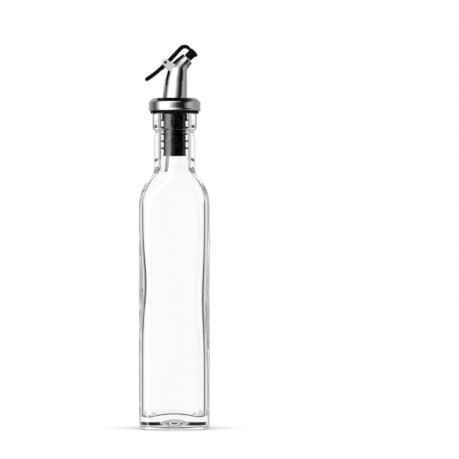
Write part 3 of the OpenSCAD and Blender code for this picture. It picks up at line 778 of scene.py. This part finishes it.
def studio_floor():
    mesh = bpy.data.meshes.new("floor")
    corners = [(-1, -1), (1, -1), (1, 1), (-1, 1)]
    mesh.from_pydata([(x * FLOOR_HALF, y * FLOOR_HALF, FLOOR_Z) for x, y in corners], [], [(0, 1, 2, 3)])
    material, _, shader = new_material("floor_white")
    shader.inputs["Base Color"].default_value = (0.8, 0.8, 0.8, 1)
    shader.inputs["Roughness"].default_value = 0.9
    shader.inputs["Specular IOR Level"].default_value = 0.0
    mesh.materials.append(material)
    floor = bpy.data.objects.new("floor", mesh)
    bpy.context.scene.collection.objects.link(floor)
    floor.visible_glossy = False
    floor.visible_transmission = False


def feed(tree, socket, value):
    """Sets a socket to a number or links it."""
    if isinstance(value, (int, float)):
        socket.default_value = value
    else:
        tree.links.new(value, socket)


def maths(tree, operation, *values):
    node = tree.nodes.new("ShaderNodeMath")
    node.operation = operation
    for socket, value in zip(node.inputs, values):
        feed(tree, socket, value)
    return node.outputs["Value"]


def choose(tree, flag, a, b):
    """a where the flag is 0 and b where it is 1."""
    node = tree.nodes.new("ShaderNodeMix")
    node.data_type = "FLOAT"
    for name, value in (("Factor", flag), ("A", a), ("B", b)):
        feed(tree, node.inputs[name], value)
    return node.outputs["Result"]


def by_bearing(tree, turn, stops):
    """Brightness round the horizon, where turn is 0 at bearing -180 and 1 at +180."""
    node = tree.nodes.new("ShaderNodeValToRGB")
    node.color_ramp.interpolation = "EASE"
    elements = node.color_ramp.elements
    while len(elements) < len(stops):
        elements.new(0.5)
    for element, (bearing, _) in zip(elements, stops):
        element.position = (bearing + 180) / 360
    for element, (_, level) in zip(elements, stops):
        element.color = (level, level, level, 1)
    tree.links.new(turn, node.inputs["Fac"])
    return node.outputs["Color"]


def by_elevation(tree, z, low, high, start, end):
    """A value that goes from low to high between two elevations in degrees."""
    return ramp(tree, z, low, high, sin(radians(start)), sin(radians(end)))


def studio_sky():
    world = bpy.data.worlds.new("studio")
    bpy.context.scene.world = world
    world.use_nodes = True
    world.cycles.sampling_method = "NONE"
    tree = world.node_tree
    where = tree.nodes.new("ShaderNodeTexCoord")
    split = tree.nodes.new("ShaderNodeSeparateXYZ")
    tree.links.new(where.outputs["Generated"], split.inputs["Vector"])
    x, y, z = split.outputs
    bearing = maths(tree, "ARCTAN2", x, maths(tree, "MULTIPLY", y, -1))
    turn = maths(tree, "ADD", maths(tree, "DIVIDE", bearing, 2 * pi), 0.5)

    def times(first, *others):
        for other in others:
            first = maths(tree, "MULTIPLY", first, other)
        return first

    # Except on the lever's side, the mirrored cards stand further round the higher they are
    higher = times(by_elevation(tree, z, 0.0, 26 / 360, 2, 7), ramp(tree, turn, 0.0, 1.0, 120 / 360, 165 / 360))
    mirrored = by_bearing(tree, maths(tree, "SUBTRACT", turn, higher), MIRRORED)
    high = times(by_elevation(tree, z, 3.0, 0.2, 30, 60), by_elevation(tree, z, 1.0, 0.1, 55, 75))
    mirrored = times(mirrored, high, by_elevation(tree, z, 0.3, 1.0, -40, -12))
    glint = by_bearing(tree, turn, GLINT)

    # The low card darkens the lines inside the walls, and so does the ground
    low_card = times(by_elevation(tree, z, 0.0, 1.0, 1.6, 2.8), by_elevation(tree, z, 1.0, 0.0, 7, 10),
                     by_bearing(tree, turn, LOW_CARD))
    inside = times(by_bearing(tree, turn, INSIDE), maths(tree, "SUBTRACT", 1.0, low_card),
                   by_elevation(tree, z, 0.1, 1.0, -45, -20))
    # Above the horizon the side cards are paler, which lights the foot of the neck
    aside = maths(tree, "ABSOLUTE", bearing)
    paler = times(ramp(tree, aside, 0.0, 0.5, radians(64), radians(76)),
                  ramp(tree, aside, 1.0, 0.0, radians(136), radians(148)),
                  by_elevation(tree, z, 0.0, 1.0, 5, 9))
    path = tree.nodes.new("ShaderNodeLightPath")
    deep = maths(tree, "GREATER_THAN", path.outputs["Transmission Depth"], PAST_SURFACES)
    through = choose(tree, deep, inside, by_bearing(tree, turn, PAST))
    through = times(maths(tree, "MAXIMUM", through, paler), by_elevation(tree, z, 1.0, 0.4, 25, 55))

    level = choose(tree, path.outputs["Is Singular Ray"], mirrored, glint)
    level = choose(tree, path.outputs["Is Transmission Ray"], level, through)
    level = choose(tree, path.outputs["Is Diffuse Ray"], level, SKY_FOR_DIFFUSE)
    level = choose(tree, path.outputs["Is Camera Ray"], level, SKY_FOR_CAMERA)
    background = tree.nodes["Background"]
    background.inputs["Color"].default_value = (1, 1, 1, 1)
    tree.links.new(level, background.inputs["Strength"])


def studio_camera():
    data = bpy.data.cameras.new("camera")
    data.lens, data.sensor_width = 261.4, 36.0
    data.clip_start, data.clip_end = 0.01, 200
    camera = bpy.data.objects.new("camera", data)
    camera.location = (0.0362, -2.2, 0.131)
    camera.rotation_euler = (radians(90), 0, 0)
    bpy.context.scene.collection.objects.link(camera)
    bpy.context.scene.camera = camera


studio_floor()
studio_sky()
studio_camera()

scene = bpy.context.scene
scene.view_settings.view_transform = "Standard"
# The glass walls need many bounces before a ray is clear of them
scene.cycles.max_bounces = 40
scene.cycles.transmission_bounces = 40
scene.cycles.glossy_bounces = 32
scene.cycles.sample_clamp_indirect = 4.0
